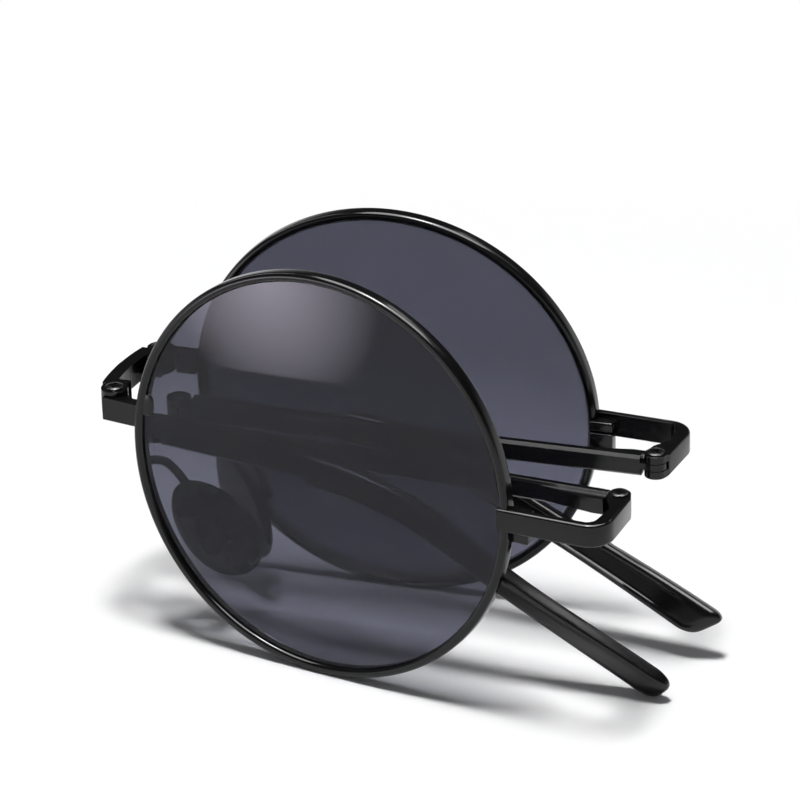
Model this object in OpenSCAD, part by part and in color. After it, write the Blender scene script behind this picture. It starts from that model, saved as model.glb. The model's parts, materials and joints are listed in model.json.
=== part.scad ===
// Folding round sunglasses, folded and standing on the two rims and one temple tip.
// Each half is drawn in its own frame: the lens centre is the origin, X runs away from
// the bridge, Y out through the lens and Z up along the hinge pins. The right half is
// placed with a turn about its bridge pin, and the left half is its mirror image.

/* [Lenses and rims] */
// Outer diameter of each round rim
rim_d = 51.2; // [46:0.2:58]
// Width of the rim wire, seen from the front
rim_wire = 1.2; // [1:0.05:1.8]
// Depth of the rim wire, from front to back
rim_depth = 1.9; // [1.8:0.05:2.4]
// Radius of the rounded edges of the rim wire
rim_round = 0.45; // [0.2:0.05:0.5]
// Depth of the groove that holds the lens edge
groove_d = 0.4; // [0.25:0.05:0.6]
// Distance of the lens edge behind the front of the rim
lens_inset = 0.5; // [0.4:0.05:0.6]
// Thickness of each lens
lens_t = 1.1; // [0.9:0.05:1.3]
// Rise of the domed lens face at its middle
lens_dome = 1; // [0.4:0.1:2]
// Lean of the lens tops towards each other, in degrees
lens_lean = 2.4; // [0:0.1:4]

/* [Bridge] */
// Angle between the two lenses when folded, in degrees
fold_angle = 11.5; // [8:0.5:16]
// Distance between the two bridge pins
link_pitch = 12.4; // [11:0.1:16]
// Distance from the edge of the rim to the bridge pin
bridge_reach = 4.15; // [3.4:0.05:6]
// Distance of the bridge pin behind the lens plane
bridge_back = 1.8; // [1.2:0.1:3]
// Height of the underside of the bridge blocks above the lens centre
bridge_z = 0.9; // [-1:0.1:4]
// Height of the bridge blocks
bridge_h = 2.95; // [2.6:0.05:4]
// Thickness of the bridge blocks, from front to back
bridge_t = 1.5; // [1:0.05:1.7]
// Distance from the bridge pin to the front face of its block
bridge_front = 2.05; // [1.95:0.05:2.6]
// Radius of the round ends of the bridge hinge
bridge_knuckle_r = 1.65; // [1.4:0.05:1.75]
// Height of the link between the two bridge pins
link_h = 3; // [2.6:0.1:4]
// Thickness of the middle of the link
link_t = 1.7; // [1.2:0.05:2]
// Thickness of the link's upper plate over each block
link_plate = 0.55; // [0.4:0.05:0.9]
// Outward bow of the link between its pins
link_bow = 0.5; // [0:0.1:1]

/* [Endpieces] */
// Height of the strip that joins the rim to the temple hinge
strip_h = 2.9; // [2.6:0.1:4]
// Thickness of the strip beside the rim
strip_t = 1; // [0.8:0.05:1.2]
// Height of the middle of the strip above the lens centre
strip_z = 0.25; // [-1:0.05:2]
// Angle by which the strip sweeps back from the lens plane, in degrees
strip_sweep = 4.5; // [0:0.5:8]
// Distance of the strip's front face ahead of the rim's front face
strip_proud = 0.3; // [0.2:0.05:0.5]
// Distance from the edge of the rim to the temple hinge pin
hinge_reach = 9.5; // [8.5:0.1:12]
// Distance of the temple hinge pin behind the lens plane
hinge_back = 8.8; // [8.3:0.1:11]
// Outer radius of the rounded corner
corner_r = 3; // [2.2:0.1:3.4]
// Distance from the temple hinge pin to the outermost side of the corner
corner_out = 2.4; // [2.3:0.05:3.6]
// Thickness of the return leg behind the corner
leg_t = 1.7; // [1.4:0.05:1.9]
// Radius of the round plates of the temple hinge
hinge_r = 1.35; // [1.2:0.05:1.45]

/* [Temples] */
// Height of the temple bars
bar_h = 2.6; // [2.4:0.05:3]
// Thickness of the temple bars
bar_t = 1.4; // [1.2:0.05:1.5]
// Distance from the temple hinge pin to the outer face of the bar
bar_out = 1.2; // [1.1:0.05:1.3]
// Distance from the temple hinge pin to the mid hinge pin
front_length = 61.6; // [54:0.2:64]
// Distance from the mid hinge pin to the start of the ear bend
rear_straight = 21.5; // [15:0.5:26]
// Fall of the temple along its length, in degrees
droop = 1.8; // [0:0.1:3]
// Angle between the folded temple and its lens, in degrees
temple_in = 3.2; // [2:0.1:4]
// Radius of the round plates of the mid hinge
mid_r = 1.5; // [1.4:0.05:1.6]
// Free gap between the two halves of a folded temple
fold_gap = 0.3; // [0.25:0.05:0.5]
// Length of the wedge-shaped hinge leaf
leaf_l = 8.4; // [5:0.2:12]
// Height of the hinge leaf off the inner face of the bar
leaf_t = 1.1; // [0.7:0.05:1.2]
// Opening of the left mid hinge as it stands, in degrees
left_mid_open = 0; // [0:0.5:2]
// Opening of the right mid hinge as it stands, in degrees
right_mid_open = 3.5; // [0:0.5:4]

/* [Ear bends and tips] */
// Bend of the left ear part, in degrees
left_bend = 31.5; // [28:0.5:34]
// Bend of the right ear part, in degrees
right_bend = 24.5; // [20:0.5:27]
// Radius of the ear bend
bend_r = 35; // [25:1:45]
// Curve of the tips towards the head
tip_curve = 3.8; // [1:0.1:5]
// Height of the sleeve at the ear bend
sleeve_h = 4; // [3.6:0.1:4.6]
// Height of the sleeve near its end
sleeve_end_h = 3.4; // [3:0.1:4]
// Thickness of the sleeve
sleeve_t = 2.2; // [2.1:0.05:2.8]
// Height of the metal core inside the sleeve
core_h = 1.6; // [1.2:0.05:1.9]
// Thickness of the metal core inside the sleeve
core_t = 0.9; // [0.7:0.05:1]

/* [Nose pads] */
// Length of each nose pad
pad_l = 14.8; // [12:0.1:15.5]
// Width of each nose pad
pad_w = 8.6; // [6:0.1:9]
// Thickness of each nose pad
pad_t = 1.9; // [1.5:0.05:2.2]
// Distance of the pad's middle inside the rim's outer edge, on the bridge side
pad_x = 7.2; // [5.6:0.1:8.6]
// Distance of the pad's middle below the lens centre
pad_drop = 13.2; // [11.5:0.1:14]
// Length of the wire's straight run from the back of the rim
arm_lead = 3; // [2:0.1:3.6]
// Distance of the pad's middle behind the lens plane
pad_back = 5.85; // [5.3:0.05:6.2]
// Turn of the pad's face towards the nose, in degrees
pad_turn = 36; // [25:1:45]
// Splay of the pad's long axis, in degrees
pad_splay = 36; // [20:1:40]
// Thickness of the wire of the pad arm
arm_d = 1.1; // [0.8:0.05:1.3]

/* [Screws and clearances] */
// Radius of the hinge screws
screw_r = 0.55; // [0.4:0.05:0.65]
// Radius of the heads of the hinge screws
head_r = 1.1; // [0.9:0.05:1.2]
// Height of the heads of the hinge screws
head_h = 0.3; // [0.2:0.05:0.4]
// Radius of the pins of the nose pads
pad_pin_r = 0.35; // [0.25:0.01:0.4]
// Radial running clearance of a hinge on its pin
run_gap = 0.05; // [0.03:0.01:0.09]
// Gap above and below a hinge tongue
side_gap = 0.1; // [0.06:0.01:0.14]
// Gap round a turning hinge part
turn_gap = 0.2; // [0.15:0.01:0.25]
// Gap between the lens edge and its groove
lens_gap = 0.03; // [0.01:0.01:0.06]

/* [Hidden] */
rim_r = rim_d / 2;
rim_in = rim_r - rim_wire;
ring_fn = 96;
pin_fn = 32;
front_y = rim_depth / 2;

// Lens: height of its front and back edge along the rim's axis
lens_front = front_y - lens_inset;
lens_mid = lens_front - lens_t / 2;
bevel = lens_t * 0.42;
dome_steps = 10;

// The floor that the rims stand on, measured from the lens centre
floor_drop = (rim_r - rim_round) * cos(lens_lean)
           + (front_y - rim_round) * sin(lens_lean) + rim_round;

// Bridge pin in the half's frame, and the heights of the hinge stack
pin_x = -(rim_r + bridge_reach);
pin_y = -bridge_back;
block_top = bridge_z + bridge_h;
link_top = block_top + side_gap / 2 + link_plate;
link_low = link_top - link_h;
tongue_low = link_low + link_plate * 1.4;
tongue_top = block_top;
block_end = 0.6;

// Endpiece outline values
hinge_x = rim_r + hinge_reach;
hinge_y = -hinge_back;
strip_start = rim_in - 0.1;
strip_front = front_y + strip_proud;
strip_low = strip_z - strip_h / 2;
corner_x = hinge_x + corner_out - corner_r;
corner_y = strip_front - (corner_x - strip_start) * tan(strip_sweep) - corner_r;
leg_lean = 7;
leg_end_y = hinge_y + 0.5;
inner_r = 1.2;
tongue_t = 0.8;

// Closing block beside the slit in the rim
slit = 0.3;
slit_z = strip_z - 0.45;
lock_out = 2.1;
lock_t = 1.7;
lock_up = 1.35;
lock_down = 2.6;
lock_x = rim_r + lock_out / 2 + 0.05;
lock_r = 0.45;
seat_gap = 0.02;
lock_y = strip_back(lock_x) - lock_t / 2 - seat_gap;

// Temple values, in a frame at the hinge pin with X along the bar and Y to its outside
bar_in = bar_out - bar_t;
bar_start = hinge_r + turn_gap;
mid_y = bar_in - fold_gap / 2;
mid_gap = mid_r + 0.15;
rear_y = -mid_y + bar_in + bar_t / 2;
edge = 0.35;

// Ear path values
sections = 12;
arc_steps = 10;
straight_steps = 5;
end_steps = 5;
core_seat = 0.1;
ear_fall = floor_drop - sleeve_end_h / 2 + strip_z
         - front_length * tan(droop) - rear_straight * sin(droop);
ear_total = arc_length(left_bend) + sleeve_end_h / 2
          + (ear_fall - bend_r * (cos(droop) - cos(droop + left_bend)))
          / sin(droop + left_bend);
core_short = 6;

// Nose pad values, in a frame at the pad's middle with Y towards the lens
tab_w = 1.1;
tab_r = 0.8;
tab_y = pad_t / 2 + 1.15;
cheek_t = 0.6;
box_gap = 0.15;
box_w = tab_w + 2 * (cheek_t + box_gap);
box_back = tab_y + tab_r + 0.2;
box_wall = 0.6;
box_h = 2;
pad_sides = 24;
arm_root_angle = 189;
pad_in = rim_r - pad_x;
arm_steps = 12;
arm_sides = 10;

// The overall box, so that the origin lies under its middle
left_side = -1;
right_side = 1;
reach_low = -(bridge_front + link_bow);
reach_high = max(tip_reach(left_side), tip_reach(right_side),
                 (corner_x - pin_x) * cos(fold_angle / 2) + corner_r);
shift_x = -(reach_high + reach_low) / 2;

// Small helpers
function arc_length(bend) = bend_r * bend * PI / 180;
function bend_of(side) = side < 0 ? left_bend : right_bend;
function open_of(side) = side < 0 ? left_mid_open : right_mid_open;
function arc(c, r, a0, a1, n) =
    [for (i = [0 : n]) c + r * [cos(a0 + (a1 - a0) * i / n), sin(a0 + (a1 - a0) * i / n)]];
function strip_back(x) = strip_front - strip_t - (x - strip_start) * tan(strip_sweep);

// Ear path: fall angle, and place of the middle line, at a length s past the bend's start
function ear_angle(s, bend) = droop + bend * min(1, s / arc_length(bend));
function ear_x(s, bend) =
    bend_r * (sin(ear_angle(s, bend)) - sin(droop))
    + max(0, s - arc_length(bend)) * cos(droop + bend);
function ear_z(s, bend) =
    -bend_r * (cos(droop) - cos(ear_angle(s, bend)))
    - max(0, s - arc_length(bend)) * sin(droop + bend);
function ear_y(s) = (sleeve_t - bar_t) / 2 - tip_curve * pow(max(0, s) / ear_total, 2);
function ear_point(s, bend) =
    [rear_straight * cos(droop) + ear_x(s, bend), rear_y + ear_y(s),
     -rear_straight * sin(droop) + ear_z(s, bend)];
function ear_yaw(s) = -atan(2 * tip_curve * s / ear_total / ear_total);

// One ring of the ear's section: rounded rectangle of height h and thickness t
function squircle(a, h, t) =
    let (c = cos(a), s = sin(a), k = pow(pow(abs(c), 4) + pow(abs(s), 4), -0.25))
    [k * c * h / 2, k * s * t / 2];
function ear_ring(s, bend, h, t) =
    let (p = ear_point(s, bend), f = ear_angle(s, bend), w = ear_yaw(s))
    [for (i = [0 : sections - 1])
        let (q = squircle(-360 * i / sections, h, t))
        p + q[0] * [sin(f), 0, cos(f)] + q[1] * [-sin(w), cos(w), 0]];
function sleeve_height(s) =
    sleeve_h + (sleeve_end_h - sleeve_h) * min(1, max(0, s) / (ear_total * 0.6));

// Lengths of the rings along the ear, up to where the end starts to round off
function ear_steps(bend, s1) = concat(
    [for (i = [0 : arc_steps]) arc_length(bend) * i / arc_steps],
    [for (i = [1 : straight_steps])
        arc_length(bend) + (s1 - arc_length(bend)) * i / straight_steps]);

// How far the rounded tip of a folded half reaches along X from the bridge pins
function turn(p, a) = [p[0] * cos(a) - p[1] * sin(a), p[0] * sin(a) + p[1] * cos(a)];
function tip_reach(side) =
    let (e = ear_point(ear_total - sleeve_end_h / 2, bend_of(side)),
         mid = [hinge_x, hinge_y] + turn([front_length, mid_y], 180 - temple_in),
         tip = mid + turn([e[0], e[1]], open_of(side) - temple_in))
    turn(tip - [pin_x, pin_y], fold_angle / 2)[0] + sleeve_end_h / 2;

// Solid through a list of rings with the same number of points
module loft(rings) {
    n = len(rings[0]);
    m = len(rings);
    polyhedron(
        points = [for (r = rings, p = r) p],
        faces = concat(
            [[for (i = [0 : n - 1]) i]],
            [for (j = [0 : m - 2], i = [0 : n - 1])
                each [[j * n + i, (j + 1) * n + i, (j + 1) * n + (i + 1) % n],
                      [j * n + i, (j + 1) * n + (i + 1) % n, j * n + (i + 1) % n]]],
            [[for (i = [n - 1 : -1 : 0]) (m - 1) * n + i]]));
}

// Bar of length l along X with bevelled long edges, between y0 and y1
module bar(l, y0, y1, h) {
    rotate([90, 0, 90]) linear_extrude(l)
        polygon([[y0, edge - h / 2], [y0 + edge, -h / 2], [y1 - edge, -h / 2],
                 [y1, edge - h / 2], [y1, h / 2 - edge], [y1 - edge, h / 2],
                 [y0 + edge, h / 2], [y0, h / 2 - edge]]);
}

// Hinge screw standing on z0 with its head's underside at z1
module screw(r, z0, z1) {
    translate([0, 0, z0]) cylinder(r = r, h = z1 - z0, $fn = pin_fn);
    translate([0, 0, z1]) cylinder(r = r * head_r / screw_r, h = head_h, $fn = pin_fn);
}

// Places
module half(side) {
    mirror([0, side < 0 ? 1 : 0, 0])
        translate([shift_x, link_pitch / 2, floor_drop])
            rotate([0, 0, fold_angle / 2])
                translate([-pin_x, -pin_y, 0]) children();
}
module leaned() { rotate([lens_lean, 0, 0]) children(); }
module at_hinge() {
    translate([hinge_x, hinge_y, strip_z]) rotate([0, 0, 180 - temple_in]) children();
}
module at_mid() {
    at_hinge() translate([front_length, mid_y, -front_length * tan(droop)]) children();
}
module at_rear(side) { at_mid() rotate([0, 0, 180 + open_of(side)]) children(); }
module at_pad() {
    leaned() translate([-pad_in, -pad_back, -pad_drop])
        rotate([0, 0, -pad_turn]) rotate([0, -pad_splay, 0]) children();
}

// Rim: grooved ring with a slit, the two halves of the closing block, and a lug inside
module rim() {
    difference() {
        union() {
            leaned() rotate([-90, 0, 0]) rotate_extrude($fn = ring_fn) rim_section();
            lock_block();
            leaned() bridge_lug();
        }
        strip_seat();
        translate([rim_in - 1, -rim_depth, slit_z - slit / 2])
            cube([rim_wire + lock_out + 2, 2 * rim_depth, slit]);
        translate([lock_x, lock_y, slit_z - lock_down - 1])
            cylinder(r = lock_r, h = lock_down + lock_up + 2, $fn = pin_fn);
    }
}
module rim_section() {
    g = lens_mid;
    polygon(concat(
        arc([rim_r - rim_round, front_y - rim_round], rim_round, 0, 90, 5),
        arc([rim_in + rim_round / 2, front_y - rim_round / 2], rim_round / 2, 90, 180, 3),
        [[rim_in, g + bevel], [rim_in + groove_d, g], [rim_in, g - bevel]],
        arc([rim_in + rim_round / 2, rim_round / 2 - front_y], rim_round / 2, 180, 270, 3),
        arc([rim_r - rim_round, rim_round - front_y], rim_round, 270, 360, 5)));
}
module lock_block() {
    difference() {
        translate([rim_r - rim_wire / 2, lock_y - lock_t / 2, slit_z - lock_down])
            cube([lock_out + rim_wire / 2, lock_t, lock_down + lock_up]);
        leaned() rotate([90, 0, 0])
            cylinder(r = rim_r - rim_wire / 2, h = 4 * rim_depth, center = true, $fn = ring_fn);
    }
}
module bridge_lug() {
    lug = 1.3;
    lug_h = 3.3;
    lug_z = block_top + 0.45;
    translate([-rim_in - 0.3, lens_front + lens_gap * 2, lug_z - lug_h / 2])
        cube([lug + 0.3, (front_y - lens_front) * 0.75, lug_h]);
}
// Space that the strip and its clearance take out of the rim
module strip_seat() {
    translate([0, 0, strip_low - seat_gap])
        linear_extrude(strip_h + 2 * seat_gap)
            polygon([[strip_start - 1, strip_front + 2], [rim_r + lock_out + 1, strip_front + 2],
                     [rim_r + lock_out + 1, strip_back(rim_r + lock_out + 1) - seat_gap],
                     [strip_start - 1, strip_back(strip_start - 1) - seat_gap]]);
}

// Lens: domed disc with a bevelled edge
module lens() {
    r = rim_in - lens_gap;
    function front(x) = lens_front + lens_dome * (1 - pow(x / r, 2));
    leaned() rotate([-90, 0, 0]) rotate_extrude($fn = ring_fn)
        polygon(concat(
            [for (i = [0 : dome_steps]) [r * i / dome_steps, front(r * i / dome_steps)]],
            [[r, lens_mid + bevel - lens_gap], [rim_in + groove_d - 2 * lens_gap, lens_mid],
             [r, lens_mid - bevel + lens_gap]],
            [for (i = [dome_steps : -1 : 0])
                [r * i / dome_steps, front(r * i / dome_steps) - lens_t]]));
}

// Screw of the closing block
module lock_screw() {
    translate([lock_x, lock_y, slit_z - lock_down])
        cylinder(r = lock_r, h = lock_down + lock_up, $fn = pin_fn);
}

// Bridge block: short flat arm from the rim with the middle knuckle of its hinge
module bridge_arm() {
    difference() {
        union() {
            translate([pin_x - block_end, pin_y + bridge_front - bridge_t, bridge_z])
                cube([block_end + bridge_reach + rim_wire, bridge_t, bridge_h]);
            translate([pin_x, pin_y, tongue_low + side_gap])
                cylinder(r = bridge_knuckle_r, h = tongue_top - tongue_low - side_gap,
                         $fn = pin_fn);
            translate([pin_x, pin_y, tongue_low + side_gap])
                cube([bridge_knuckle_r + 0.6, bridge_front - bridge_t / 2,
                      tongue_top - tongue_low - side_gap]);
        }
        translate([pin_x, pin_y, bridge_z - 1])
            cylinder(r = bridge_knuckle_r + turn_gap, h = tongue_low + side_gap - bridge_z + 1,
                     $fn = pin_fn);
        translate([pin_x, pin_y, tongue_low - 1])
            cylinder(r = screw_r + run_gap, h = bridge_h + 2, $fn = pin_fn);
        leaned() rotate([90, 0, 0])
            cylinder(r = rim_r, h = 4 * rim_depth, center = true, $fn = ring_fn);
    }
}
module bridge_screw() {
    translate([pin_x, pin_y, 0]) screw(screw_r, link_low, link_top);
}

// Link between the two bridge pins: bowed bar with a fork at each end
module bridge_link() {
    y = link_pitch / 2;
    far = bridge_front + link_bow;
    end_l = 2.4;
    steps = 12;
    function bow(t) = -bridge_front - link_bow * (1 - pow(2 * t - 1, 2));
    span = link_pitch - 2 * (block_end + turn_gap);
    translate([shift_x, 0, floor_drop])
        difference() {
            union() {
                translate([0, 0, link_low]) linear_extrude(link_h)
                    polygon(concat(
                        [for (i = [0 : steps]) [bow(i / steps), (i / steps - 0.5) * span]],
                        [for (i = [steps : -1 : 0])
                            [bow(i / steps) + link_t, (i / steps - 0.5) * span]]));
                for (s = [-1, 1]) {
                    translate([0, s * y, link_low])
                        cylinder(r = bridge_knuckle_r, h = link_h, $fn = pin_fn);
                    translate([-bridge_knuckle_r * 0.88, s * y - (s > 0 ? end_l : 0), link_low])
                        cube([bridge_knuckle_r * 1.5, end_l, link_h]);
                }
            }
            for (s = [-1, 1]) {
                translate([0, s * y, link_low - 1])
                    cylinder(r = screw_r, h = link_h + 2, $fn = pin_fn);
                translate([0, s * y, tongue_low])
                    cylinder(r = bridge_knuckle_r + turn_gap,
                             h = tongue_top - tongue_low + side_gap / 2, $fn = pin_fn);
            }
        }
}

// Endpiece: strip from the rim, rounded turn, leg and the fork of the temple hinge
module endpiece() {
    difference() {
        union() {
            translate([0, 0, strip_low]) linear_extrude(strip_h) strip_outline();
            translate([hinge_x, hinge_y, strip_low])
                cylinder(r = hinge_r, h = strip_h, $fn = pin_fn);
        }
        leaned() rotate([90, 0, 0]) linear_extrude(4 * rim_depth, center = true)
            circle(r = strip_start - 1, $fn = ring_fn);
        leaned() rotate([-90, 0, 0]) translate([0, 0, -rim_depth])
            cylinder(r = rim_in + groove_d, h = rim_depth + lens_front + 2 * lens_gap, $fn = ring_fn);
        translate([hinge_x, hinge_y, strip_low - 1])
            cylinder(r = screw_r, h = strip_h + 2, $fn = pin_fn);
        translate([hinge_x, hinge_y, strip_z - tongue_t / 2 - side_gap])
            cylinder(r = hinge_r + turn_gap, h = tongue_t + 2 * side_gap, $fn = pin_fn);
    }
}
module strip_outline() {
    c = [corner_x, corner_y];
    s = strip_sweep;
    leg_top = c + corner_r * [cos(leg_lean), -sin(leg_lean)];
    leg_low = leg_top - (leg_top[1] - leg_end_y) * [tan(leg_lean), 1];
    inner = [c[0] + corner_r - leg_t - inner_r, strip_back(c[0]) - inner_r];
    polygon(concat(
        [[strip_start, strip_front]],
        arc(c, corner_r, 90 - s, -leg_lean, 12),
        [leg_low, [hinge_x + hinge_r * 0.8, hinge_y - hinge_r * 0.6], [hinge_x, hinge_y],
         [hinge_x - hinge_r * 0.8, hinge_y + hinge_r * 0.6],
         [hinge_x - hinge_r * 5 / 9, hinge_y + hinge_r + screw_r],
         [c[0] + corner_r - leg_t, hinge_y + hinge_r * 25 / 9]],
        arc(inner, inner_r, 0, 90 - s, 5),
        [[strip_start, strip_back(strip_start)]]));
}
module temple_hinge_screw() {
    translate([hinge_x, hinge_y, 0]) screw(screw_r, strip_low, strip_low + strip_h);
}

// Temple front: tongue, wedge-shaped leaf, bar and the fork of the mid hinge
module temple_front() {
    mid_z = -front_length * tan(droop);
    bar_l = front_length - mid_gap - bar_start;
    at_hinge() difference() {
        union() {
            translate([0, 0, -tongue_t / 2])
                cylinder(r = hinge_r, h = tongue_t, $fn = pin_fn);
            translate([0, bar_in, -tongue_t / 2]) cube([bar_start + 1, bar_t, tongue_t]);
            rotate([0, droop, 0]) translate([bar_start, 0, 0]) {
                bar(bar_l, bar_in, bar_out, bar_h);
                translate([0, 0, -bar_h / 2 + edge]) linear_extrude(bar_h - 2 * edge)
                    polygon([[0, bar_in + edge], [0, bar_in - leaf_t],
                             [1.6, bar_in - leaf_t], [leaf_l, bar_in], [leaf_l, bar_in + edge]]);
            }
            translate([front_length, mid_y, mid_z]) {
                translate([0, 0, -bar_h / 2])
                    cylinder(r = mid_r, h = bar_h, $fn = pin_fn);
                translate([-mid_gap - 0.4, fold_gap / 2, -bar_h / 2])
                    cube([mid_gap + 0.4, mid_r - fold_gap / 2, bar_h]);
            }
        }
        translate([0, 0, -tongue_t])
            cylinder(r = screw_r + run_gap, h = 2 * tongue_t, $fn = pin_fn);
        translate([front_length, mid_y, mid_z]) {
            translate([0, 0, -tongue_t / 2 - side_gap])
                cylinder(r = mid_gap, h = tongue_t + 2 * side_gap, $fn = pin_fn);
            translate([0, 0, -bar_h])
                cylinder(r = screw_r, h = 2 * bar_h, $fn = pin_fn);
        }
    }
}
module mid_hinge_screw() { at_mid() screw(screw_r, -bar_h / 2, bar_h / 2); }

// Temple rear: tongue, bar and the core inside the sleeve
module temple_rear(side) {
    bend = bend_of(side);
    at_rear(side) union() {
        difference() {
            union() {
                translate([0, 0, -tongue_t / 2])
                    cylinder(r = mid_r, h = tongue_t, $fn = pin_fn);
                translate([0, fold_gap / 2, -tongue_t / 2])
                    cube([mid_gap + 1, mid_r - fold_gap / 2, tongue_t]);
            }
            translate([0, 0, -tongue_t])
                cylinder(r = screw_r + run_gap, h = 2 * tongue_t, $fn = pin_fn);
        }
        rotate([0, droop, 0]) translate([mid_gap, 0, 0])
            bar(rear_straight - mid_gap, rear_y - bar_t / 2, rear_y + bar_t / 2, bar_h);
        core(bend, core_h, core_t, ear_total - core_short);
    }
}
module core(bend, h, t, s1) {
    loft([for (s = concat([-core_seat], ear_steps(bend, s1))) ear_ring(s, bend, h, t)]);
}

// Temple tip: sleeve over the core, with a rounded end
module temple_tip(side) {
    bend = bend_of(side);
    s1 = ear_total - sleeve_end_h / 2;
    at_rear(side) difference() {
        loft(concat(
            [for (s = ear_steps(bend, s1)) ear_ring(s, bend, sleeve_height(s), sleeve_t)],
            [for (i = [1 : end_steps])
                let (k = sin(85 * i / end_steps), w = cos(85 * i / end_steps))
                ear_ring(s1 + k * sleeve_end_h / 2, bend, sleeve_end_h * w, sleeve_t * pow(w, 0.7))]));
        core(bend, core_h + 2 * lens_gap, core_t + 2 * lens_gap, ear_total - core_short + lens_gap);
    }
}

// Nose pad: soft oval with a tab that the pin passes through
module nose_pad() {
    levels = [[-0.5, 0.72], [-0.32, 0.93], [0, 1], [0.32, 0.93], [0.5, 0.72]];
    at_pad() difference() {
        union() {
            loft([for (v = levels) [for (i = [0 : pad_sides - 1])
                let (a = -360 * i / pad_sides)
                [v[1] * pad_w / 2 * cos(a) * (1 - 0.12 * sin(a)), v[0] * pad_t,
                 v[1] * pad_l / 2 * sin(a)]]]);
            translate([0, tab_y, 0]) rotate([0, 90, 0])
                cylinder(r = tab_r, h = tab_w, center = true, $fn = pin_fn);
            translate([-tab_w / 2, 0, -tab_r]) cube([tab_w, tab_y, 2 * tab_r]);
        }
        translate([0, tab_y, 0]) rotate([0, 90, 0])
            cylinder(r = pad_pin_r + run_gap, h = 2 * tab_w, center = true, $fn = pin_fn);
    }
}
module pad_pin() {
    at_pad() translate([0, tab_y, 0]) rotate([0, 90, 0])
        cylinder(r = pad_pin_r, h = box_w, center = true, $fn = pin_fn);
}

// Pad arm: bent wire from the back of the rim to a small open box round the tab
function pad_to_half(p) =
    let (a = [p[0] * cos(pad_splay) - p[2] * sin(pad_splay), p[1],
              p[0] * sin(pad_splay) + p[2] * cos(pad_splay)],
         b = turn([a[0], a[1]], -pad_turn))
    [b[0] - pad_in, b[1] - pad_back, a[2] - pad_drop];
function bezier(p, t) =
    pow(1 - t, 3) * p[0] + 3 * pow(1 - t, 2) * t * p[1]
    + 3 * (1 - t) * t * t * p[2] + pow(t, 3) * p[3];
module pad_arm() {
    mid_wire = rim_r - rim_wire / 2;
    root = [mid_wire * cos(arm_root_angle), -front_y, mid_wire * sin(arm_root_angle)];
    tail = pad_to_half([0, box_back + arm_d / 2 + 0.05, -box_h / 4]);
    pts = [root, root + arm_lead * [2 / 15, -1, -0.2],
           pad_to_half([-pad_w * 0.55, box_back + 0.8 * arm_d, pad_l * 0.36]), tail];
    at_pad() difference() {
        translate([-box_w / 2, tab_y - 0.75, -box_h / 2])
            cube([box_w, box_back + box_wall - tab_y + 0.75, box_h]);
        translate([-tab_w / 2 - box_gap, tab_y - 2, -box_h])
            cube([tab_w + 2 * box_gap, box_back - tab_y + 2, 2 * box_h]);
        translate([0, tab_y, 0]) rotate([0, 90, 0])
            cylinder(r = pad_pin_r, h = 2 * box_w, center = true, $fn = pin_fn);
    }
    leaned() wire([for (i = [0 : arm_steps]) bezier(pts, i / arm_steps)], arm_d / 2);
}
// Round wire through points, with rings square to the path
module wire(p, r) {
    n = len(p) - 1;
    function unit(v) = v / norm(v);
    function along(i) = i == 0 ? [0, -1, 0] : unit(p[min(n, i + 1)] - p[i - 1]);
    loft([for (i = [0 : n])
        let (d = along(i), a = unit(cross(d, [1, 0.2, 0])), b = cross(d, a))
        [for (k = [0 : arm_sides - 1])
            p[i] + r * (cos(360 * k / arm_sides) * a + sin(360 * k / arm_sides) * b)]]);
}

metal = "dimgray";
pin_metal = "silver";
glass = "slategray";
plastic = "black";
soft = "gray";

module left_rim() { color(metal) half(left_side) rim(); }
module left_lens() { color(glass) half(left_side) lens(); }
module left_lock_screw() { color(pin_metal) half(left_side) lock_screw(); }
module left_bridge_arm() { color(metal) half(left_side) bridge_arm(); }
module left_bridge_screw() { color(pin_metal) half(left_side) bridge_screw(); }
module left_endpiece() { color(metal) half(left_side) endpiece(); }
module left_temple_hinge_screw() { color(pin_metal) half(left_side) temple_hinge_screw(); }
module left_temple_front() { color(metal) half(left_side) temple_front(); }
module left_mid_hinge_screw() { color(pin_metal) half(left_side) mid_hinge_screw(); }
module left_temple_rear() { color(metal) half(left_side) temple_rear(left_side); }
module left_temple_tip() { color(plastic) half(left_side) temple_tip(left_side); }
module left_pad_arm() { color(metal) half(left_side) pad_arm(); }
module left_pad_pin() { color(pin_metal) half(left_side) pad_pin(); }
module left_nose_pad() { color(soft) half(left_side) nose_pad(); }
module right_rim() { color(metal) half(right_side) rim(); }
module right_lens() { color(glass) half(right_side) lens(); }
module right_lock_screw() { color(pin_metal) half(right_side) lock_screw(); }
module right_bridge_arm() { color(metal) half(right_side) bridge_arm(); }
module right_bridge_screw() { color(pin_metal) half(right_side) bridge_screw(); }
module right_endpiece() { color(metal) half(right_side) endpiece(); }
module right_temple_hinge_screw() { color(pin_metal) half(right_side) temple_hinge_screw(); }
module right_temple_front() { color(metal) half(right_side) temple_front(); }
module right_mid_hinge_screw() { color(pin_metal) half(right_side) mid_hinge_screw(); }
module right_temple_rear() { color(metal) half(right_side) temple_rear(right_side); }
module right_temple_tip() { color(plastic) half(right_side) temple_tip(right_side); }
module right_pad_arm() { color(metal) half(right_side) pad_arm(); }
module right_pad_pin() { color(pin_metal) half(right_side) pad_pin(); }
module right_nose_pad() { color(soft) half(right_side) nose_pad(); }

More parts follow.
